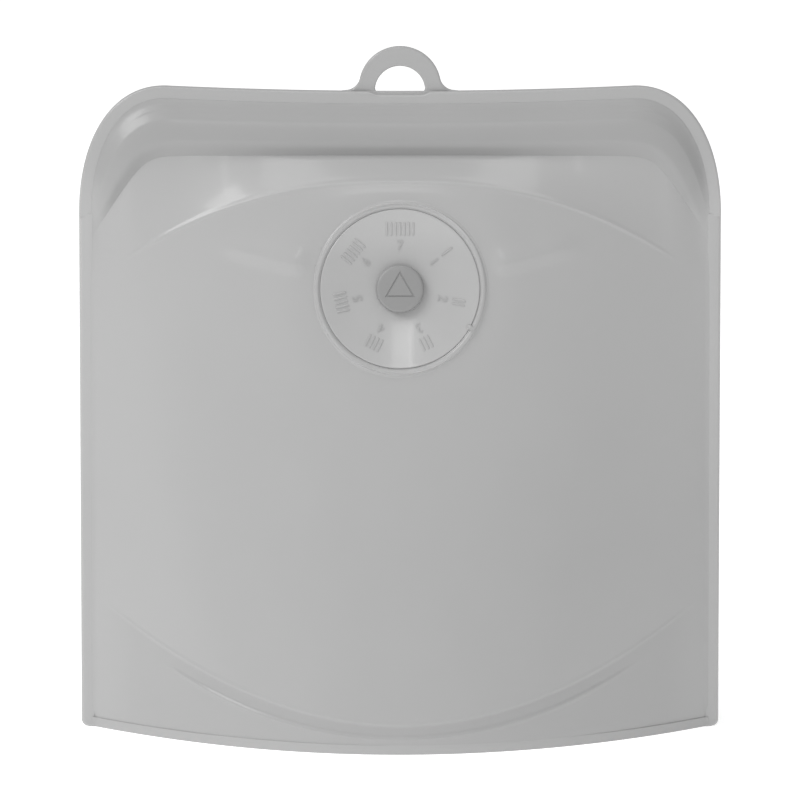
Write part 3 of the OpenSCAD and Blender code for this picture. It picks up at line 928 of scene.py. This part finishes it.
def loopOutlines():
    middle = float(topHeight(0.0))
    centre = (0.0, middle + loopShape["rise"])
    apart = loopShape["outer"] + loopShape["fillet"]
    edgeZ = float(topHeight(apart))
    filletZ = edgeZ + loopShape["fillet"]
    foot = math.sqrt(apart ** 2 - (filletZ - centre[1]) ** 2)
    # the loop's circle and the foot's fillet touch on the line between their centres
    aim = math.degrees(math.asin((filletZ - centre[1]) / apart))
    outer = arcPoints((foot, filletZ), loopShape["fillet"], 270, 180 + aim, 12)
    outer += arcPoints(centre, loopShape["outer"], aim, 180 - aim, 48)[1:-1]
    outer += arcPoints((-foot, filletZ), loopShape["fillet"], -aim, -90, 12)
    outer += [(-foot - 1.5, edgeZ - 0.2), (-foot - 1.5, middle - loopShape["skirt"])]
    outer += [(foot + 1.5, middle - loopShape["skirt"]), (foot + 1.5, edgeZ - 0.2)]
    low = middle - loopShape["holeLow"]
    soft = loopShape["cornerRound"]
    side = math.sqrt((loopShape["hole"] - soft) ** 2 - (soft - loopShape["holeLow"]) ** 2)
    lean = math.degrees(math.atan2(soft - loopShape["holeLow"], side))
    hole = arcPoints((side, low + soft), soft, -90, lean, 8)
    hole += arcPoints((0, middle), loopShape["hole"], lean, 180 - lean, 40)
    hole += arcPoints((-side, low + soft), soft, 180 - lean, 270, 8)
    return outer, hole


def addLoop():
    data = bpy.data.curves.new("hangingLoop", "CURVE")
    data.dimensions = "2D"
    data.fill_mode = "BOTH"
    for points in loopOutlines():
        spline = data.splines.new("POLY")
        spline.points.add(len(points) - 1)
        for k, (x, z) in enumerate(points):
            spline.points[k].co = (x * mm, z * mm, 0, 1)
        spline.use_cyclic_u = True
    data.extrude = (loopShape["thick"] / 2 - loopShape["bevel"]) * mm
    data.bevel_depth = loopShape["bevel"] * mm
    data.bevel_resolution = 4
    data.offset = -loopShape["bevel"] * mm
    drawn = addObject("hangingLoopDrawn", data)
    piece = plainCopy(drawn, "hangingLoop")
    bpy.data.objects.remove(drawn)
    stand = Matrix.Translation((0, (bag["mouthGap"] + loopShape["thick"] / 2) * mm, 0))
    piece.data.transform(stand @ Matrix.Rotation(math.radians(90), 4, "X"))
    piece.data.materials.clear()
    piece.data.materials.append(silicone["edgeSilicone"])
    smoothMesh(piece.data, 35)
    paintThickAndShade(piece, 0.1)
    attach(piece, "back_wall")
    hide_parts("hanging_loop")


addLoop()
print("hanging loop made")

# day dial

dial = {"discRadius": 24.8, "gap": 0.3, "ringWidth": 1.4, "ringHeight": 0.8, "rimBelow": 0.2,
        "dish": 2.2, "discThick": 0.9, "hubRadius": 8.0, "journal": 4.0, "bore": 4.05,
        "neck": 2.2, "barb": 2.9, "axial": 0.1, "socketWall": 1.4, "segments": 144,
        "flange": 28.6, "numeralRadius": 13.4, "dayRadius": 18.6, "dishCurve": 1.5}
dial["rimTop"] = dial["ringHeight"] - dial["rimBelow"]
dial["hubTop"] = dial["rimTop"] - dial["dish"]
dial["hubLow"] = dial["hubTop"] - dial["discThick"]
dial["seatFloor"] = dial["hubLow"] - dial["axial"]
dial["ledge"] = dial["seatFloor"] - bag["wall"] - 0.8 + dial["axial"] / 2
dial["socketEnd"] = dial["ledge"] - 2.3


def wheel(count, shift=0.0):
    turns = [2 * math.pi * (k + shift) / count for k in range(count)]
    return [(math.cos(t), math.sin(t)) for t in turns]


def onDial(points):
    axes = np.array([(1, 0, 0), dialUp, dialOut])
    return np.asarray(points, float) @ axes + np.array(dialCentre)


def spunPiece(name, profile, material, conform=None, sharp=40):
    # profile points are (radius, height) from the dial's middle out; those on the axis become a pole
    count = dial["segments"]
    verts, rows = [], []
    for radius, height in profile:
        if radius < 1e-6:
            rows.append([len(verts)] * count)
            verts.append((0, 0, height))
            continue
        rows.append(list(range(len(verts), len(verts) + count)))
        verts += [(radius * c, radius * s, height) for c, s in wheel(count)]
    faces = []
    for r, a in enumerate(rows):
        b = rows[(r + 1) % len(rows)]
        if a[0] == a[1] and b[0] == b[1]:
            continue
        for k in range(count):
            n = (k + 1) % count
            ring = [a[k], b[k], b[n], a[n]]
            faces.append([v for i, v in enumerate(ring) if v != ring[i - 1]])
    verts = onDial(verts)
    if conform is not None:
        verts = conform(verts)
    return finishMesh(name, verts, facedOut(verts, faces), material, sharp)


def softened(profile, steps=3):
    # rounds each corner of a section by its third value
    points, count = [], len(profile)
    for k in range(count):
        here, amount = np.array(profile[k][:2], float), profile[k][2]
        if amount <= 0:
            points.append(tuple(here))
            continue
        before = np.array(profile[k - 1][:2], float) - here
        after = np.array(profile[(k + 1) % count][:2], float) - here
        reach = min(amount, 0.45 * np.linalg.norm(before), 0.45 * np.linalg.norm(after))
        a = here + before / np.linalg.norm(before) * reach
        b = here + after / np.linalg.norm(after) * reach
        for s in range(steps + 1):
            t = s / steps
            points.append(tuple(a * (1 - t) ** 2 + 2 * here * t * (1 - t) + b * t ** 2))
    return points


def followWall(verts):
    # outside the ring the flange follows the wall's own surface
    offset = verts - np.array(dialCentre)
    height = offset @ np.array(dialOut)
    away = np.linalg.norm(offset - height[:, None] * np.array(dialOut), axis=1)
    share = smoothStep((away - 26.1) / 0.5)
    base = np.where(height > -0.9, 0.0, -bag["wall"])
    flat = verts - height[:, None] * np.array(dialOut)
    depth = wallDepth(flat[:, 0], flat[:, 2], front)
    lift = np.where(base < 0, -innerDepth(flat[:, 0], flat[:, 2], front), -depth)
    gapOut = (lift - flat[:, 1]) * dialOut.y
    target = gapOut + (height - base)
    return flat + (height + (target - height) * share)[:, None] * np.array(dialOut)


def dishHeight(radius):
    share = np.clip((radius - dial["hubRadius"]) / (dial["discRadius"] - dial["hubRadius"]), 0, 1.2)
    return dial["hubTop"] + dial["dish"] * share ** dial["dishCurve"]


def addSeat():
    d = dial
    inner, outer = d["discRadius"] + d["gap"], d["discRadius"] + d["gap"] + d["ringWidth"]
    neck, bulb = d["neck"] + 0.05, d["barb"] + 0.05
    rimFloor, web = d["seatFloor"] + d["dish"], bag["wall"]
    boss = bulb + d["socketWall"] + 1
    below = d["discThick"] + d["axial"]
    radii = np.linspace(d["hubRadius"], d["discRadius"] - 0.3, 10)
    end = d["socketEnd"] - d["socketWall"]
    profile = [
        (neck, d["seatFloor"], 0.1), *[(r, float(dishHeight(r)) - below, 0) for r in radii],
        (d["discRadius"] + 0.06, rimFloor, 0), (d["discRadius"] + 0.06, 0.22, 0), (inner, 0.32, 0.08),
        (inner + 0.4, d["ringHeight"], 0.25), (outer, d["ringHeight"], 0.6),
        (outer + 0.3, 0.14, 0.4), (outer + 1.0, 0.05, 0.3),
        (d["flange"], -0.3, 0), (d["flange"], -1.2, 0),
        (outer + 1.0, -1.6, 0.3), (outer, -1.9, 0.5),
        *[(r, float(dishHeight(r)) - below - web, 0) for r in radii[::-1]],
        (boss, d["seatFloor"] - web, 0.7), (boss, end, 0.6),
        (0, end, 0), (0, d["socketEnd"], 0), (bulb, d["socketEnd"], 0.2), (bulb, d["ledge"], 0.1),
        (neck, d["ledge"], 0.1),
    ]
    piece = spunPiece("dialSeat", softened(profile), silicone["seatSilicone"], followWall, 42)
    paintThickAndShade(piece, 0.0)
    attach(piece, "front_wall")
    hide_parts("dial_seat")


nib = {"angle": -29.0, "width": 1.7, "from": 23.6, "to": 26.1, "height": 0.16}


def addDisc():
    d = dial
    radii = np.linspace(d["hubRadius"], d["discRadius"] - 0.5, 16)
    top = [(r, float(dishHeight(r))) for r in radii]
    edge = [(d["discRadius"] - 0.25, d["rimTop"] - 0.06), (d["discRadius"] - 0.08, d["rimTop"] - 0.2),
            (d["discRadius"], d["rimTop"] - 0.4), (d["discRadius"], d["rimTop"] - d["discThick"] + 0.15),
            (d["discRadius"] - 0.15, d["rimTop"] - d["discThick"])]
    under = [(r, float(dishHeight(r)) - d["discThick"]) for r in radii[::-1]]
    bore = [(d["bore"], d["hubLow"]), (d["bore"], d["hubTop"])]
    piece = spunPiece("dayDisc", top + edge + under + bore, discPlastic, None, 50)
    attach(piece, "disc")
    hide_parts("day_disc")


def addNib():
    # a thumbnail catch that rises from the disc and laps over the ring
    low = dial["rimTop"] - 0.3
    ringTop = dial["ringHeight"] + 0.1
    top = ringTop + nib["height"]
    # along the catch: radius, underside, upper side, share of the width
    rows = [(nib["from"], low, dial["rimTop"] + 0.05, 0.7),
            (nib["from"] + 0.7, low, ringTop - 0.1, 0.95),
            (nib["from"] + 1.4, low, top, 1.0), (nib["to"] - 1.3, ringTop - 0.1, top, 1.0),
            (nib["to"] - 0.5, ringTop, top - 0.05, 0.85),
            (nib["to"], ringTop + 0.03, ringTop + 0.15, 0.6)]
    spin = np.array(Matrix.Rotation(math.radians(nib["angle"]), 3, "Z"))
    rings = []
    for radius, bottom, high, wide in rows:
        ring = []
        for c, n in wheel(16):
            across = nib["width"] / 2 * wide * math.copysign(abs(c) ** 0.6, c)
            up = (bottom + high) / 2 + (high - bottom) / 2 * math.copysign(abs(n) ** 0.6, n)
            ring.append((radius, across, up))
        rings.append(onDial(np.asarray(ring) @ spin.T))
    piece = loftPiece("discNib", rings, markPlastic, 60)
    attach(piece, "disc")


marks = {"numerals": ("7", "1", "2", "3", "4", "5", "6"), "numeralSize": 4.2, "proud": 0.22,
         "sunk": 0.15, "strokeTall": 4.2, "strokeWide": 0.62, "strokePitch": 1.36, "strokePoints": 16}


def numeralMesh(word):
    text = bpy.data.curves.new("numeralText", "FONT")
    text.body = word
    text.size = marks["numeralSize"] * mm
    text.align_x, text.align_y = "CENTER", "CENTER"
    text.extrude = (marks["proud"] + marks["sunk"]) / 2 * mm
    text.resolution_u = 6
    drawn = addObject("numeralText", text)
    glyphs = plainCopy(drawn, "numeralGlyph")
    bpy.data.objects.remove(drawn)
    verts = pointsOf(glyphs)
    faces = [list(p.vertices) for p in glyphs.data.polygons]
    dropObject(glyphs)
    return verts, faces


def strokeMesh():
    # one raised stroke with round ends and a softened top
    half, tall = marks["strokeWide"] / 2, marks["strokeTall"] / 2
    depth = (marks["proud"] + marks["sunk"]) / 2
    count = marks["strokePoints"]
    verts, faces = [], []
    for inset, level in ((0, -depth), (0, depth - 0.1), (0.12, depth)):
        for c, s in wheel(count, 0.5):
            end = math.copysign(tall - half, s)
            verts.append(((half - inset) * c, end + (half - inset) * s, level))
    for first in (0, count):
        for k in range(count):
            a, b = first + k, first + (k + 1) % count
            faces.append([a, b, b + count, a + count])
    faces += [list(range(count - 1, -1, -1)), list(range(2 * count, 3 * count))]
    return np.array(verts), faces


def addMarks(name, groups, radius, node):
    verts, faces = [], []
    for day, group in enumerate(groups):
        turn = -2 * math.pi * day / len(groups)
        for shift, (points, polygons) in group:
            x, y = points[:, 0] + shift, points[:, 1] + radius
            placedX = x * math.cos(turn) - y * math.sin(turn)
            placedY = x * math.sin(turn) + y * math.cos(turn)
            lift = dishHeight(np.hypot(x, y)) + points[:, 2] + (marks["proud"] - marks["sunk"]) / 2
            first = len(verts)
            verts += list(np.stack([placedX, placedY, lift], 1))
            faces += [[v + first for v in p] for p in polygons]
    piece = finishMesh(name, onDial(verts), faces, markPlastic, 30)
    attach(piece, "disc")
    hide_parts(node)


def strokeGroup(count):
    stroke = strokeMesh()
    return [((k - (count - 1) / 2) * marks["strokePitch"], stroke) for k in range(count)]


button = {"radius": 7.5, "height": 2.6, "arrowRadius": 4.9, "line": 0.4, "deep": 0.24, "arrowRise": 0.14}


def addButton():
    d, b = dial, button
    low = d["hubTop"] + d["axial"]
    high = low + b["height"]
    foot = d["seatFloor"] + d["axial"] / 2
    ledge = d["ledge"] - d["axial"] / 2
    profile = [
        (0, ledge - 2.2, 0), (d["barb"] / 2, ledge - 2.2, 0.3),
        (d["barb"], ledge, 0.2), (d["neck"], ledge, 0.1),
        (d["neck"], foot, 0.1), (d["journal"], foot, 0.1), (d["journal"], low, 0.1),
        (b["radius"] - 0.25, low, 0.15), (b["radius"], low + 0.3, 0.25),
        (b["radius"] - 0.1, high - 0.1, 1.5),
        (b["radius"] * 0.55, high - 0.02, 0), (0, high, 0),
    ]
    body = spunPiece("arrowButton", softened(profile, 5), buttonPlastic)
    cutter = arrowCutter(high)
    cut = body.modifiers.new("arrowGroove", "BOOLEAN")
    cut.operation = "DIFFERENCE"
    cut.object = cutter
    cut.solver = "EXACT"
    piece = plainCopy(body, "arrowButtonCut")
    dropObject(body)
    dropObject(cutter)
    piece.name = piece.data.name = "arrowButton"
    smoothMesh(piece.data, 30)
    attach(piece, "button")
    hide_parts("arrow_button")


def arrowCutter(high):
    # three-sided ring with V-shaped walls, apex up
    radius, wide, narrow = button["arrowRadius"], 2 * button["line"], 2 * (button["line"] * 0.45)
    order = [(radius + wide, 0.6), (radius + narrow, -button["deep"]),
             (radius - narrow, -button["deep"]), (radius - wide, 0.6)]
    verts, faces = [], []
    for radius, level in order:
        for k in range(3):
            turn = math.radians(90 + 120 * k)
            up = radius * math.sin(turn) + button["arrowRise"]
            verts.append((radius * math.cos(turn), up, high + level))
    for r in range(4):
        for k in range(3):
            a, b = r * 3, ((r + 1) % 4) * 3
            n = (k + 1) % 3
            faces.append([a + k, b + k, b + n, a + n])
    verts = onDial(verts)
    return finishMesh("arrowCutter", verts, facedOut(verts, faces), buttonPlastic, 20)


addSeat()
addDisc()
addNib()
addMarks("discNumerals", [[(0, numeralMesh(word))] for word in marks["numerals"]],
         dial["numeralRadius"], "disc_numerals")
addMarks("discDayStrokes", [strokeGroup(int(word)) for word in marks["numerals"]],
         dial["dayRadius"], "disc_day_marks")
addButton()
print("day dial made")

# studio

studio = {"floorRadius": 14.0, "glow": 0.5, "worldStrength": 0.45, "aim": (0, 0, 0.11)}
lights = {
    "keyLight": {"place": (-1.7, -1.3, 1.9), "size": (1.5, 1.1), "power": 34},
    "topLight": {"place": (0.0, -0.4, 2.4), "size": (2.4, 1.0), "power": 16},
    "stripLight": {"place": (-0.035, -2.33, 1.27), "size": (0.26, 0.62), "power": 1.6},
    "ridgeLight": {"place": (-0.3, -1.85, 1.95), "size": (1.9, 0.16), "power": 2.9},
    "glintLight": {"place": (-0.12, -2.2, 1.2), "size": (0.05, 0.5), "power": 0.25},
}


def addStage():
    verts = [(studio["floorRadius"] * c, studio["floorRadius"] * s, 0) for c, s in wheel(64)]
    mesh = bpy.data.meshes.new("studioFloor")
    mesh.from_pydata(verts, [], [list(range(len(verts)))])
    floor = addObject("studioFloor", mesh)
    material, tree, shader = plainMaterial("studioWhite")
    feed(tree, shader, {"Base Color": (0.9, 0.9, 0.9, 1), "Roughness": 0.8,
                        "Emission Color": (1, 1, 1, 1), "Emission Strength": studio["glow"]})
    mesh.materials.append(material)


def addLight(name, place, size, power):
    data = bpy.data.lights.new(name, "AREA")
    data.shape = "RECTANGLE"
    data.size, data.size_y = size
    data.energy = power
    light = addObject(name, data)
    light.location = place
    light.rotation_mode = "QUATERNION"
    light.rotation_quaternion = (Vector(studio["aim"]) - Vector(place)).to_track_quat("-Z", "Y")


def addWorld():
    world = bpy.data.worlds.new("studioWorld")
    world.use_nodes = True
    sky = world.node_tree.nodes["Background"]
    feed(world.node_tree, sky, {"Color": (1, 1, 1, 1), "Strength": studio["worldStrength"]})
    bpy.context.scene.world = world
    bpy.context.scene.view_settings.view_transform = "Standard"


addStage()
for lightName, light in lights.items():
    addLight(lightName, **light)
addWorld()
print("studio made")
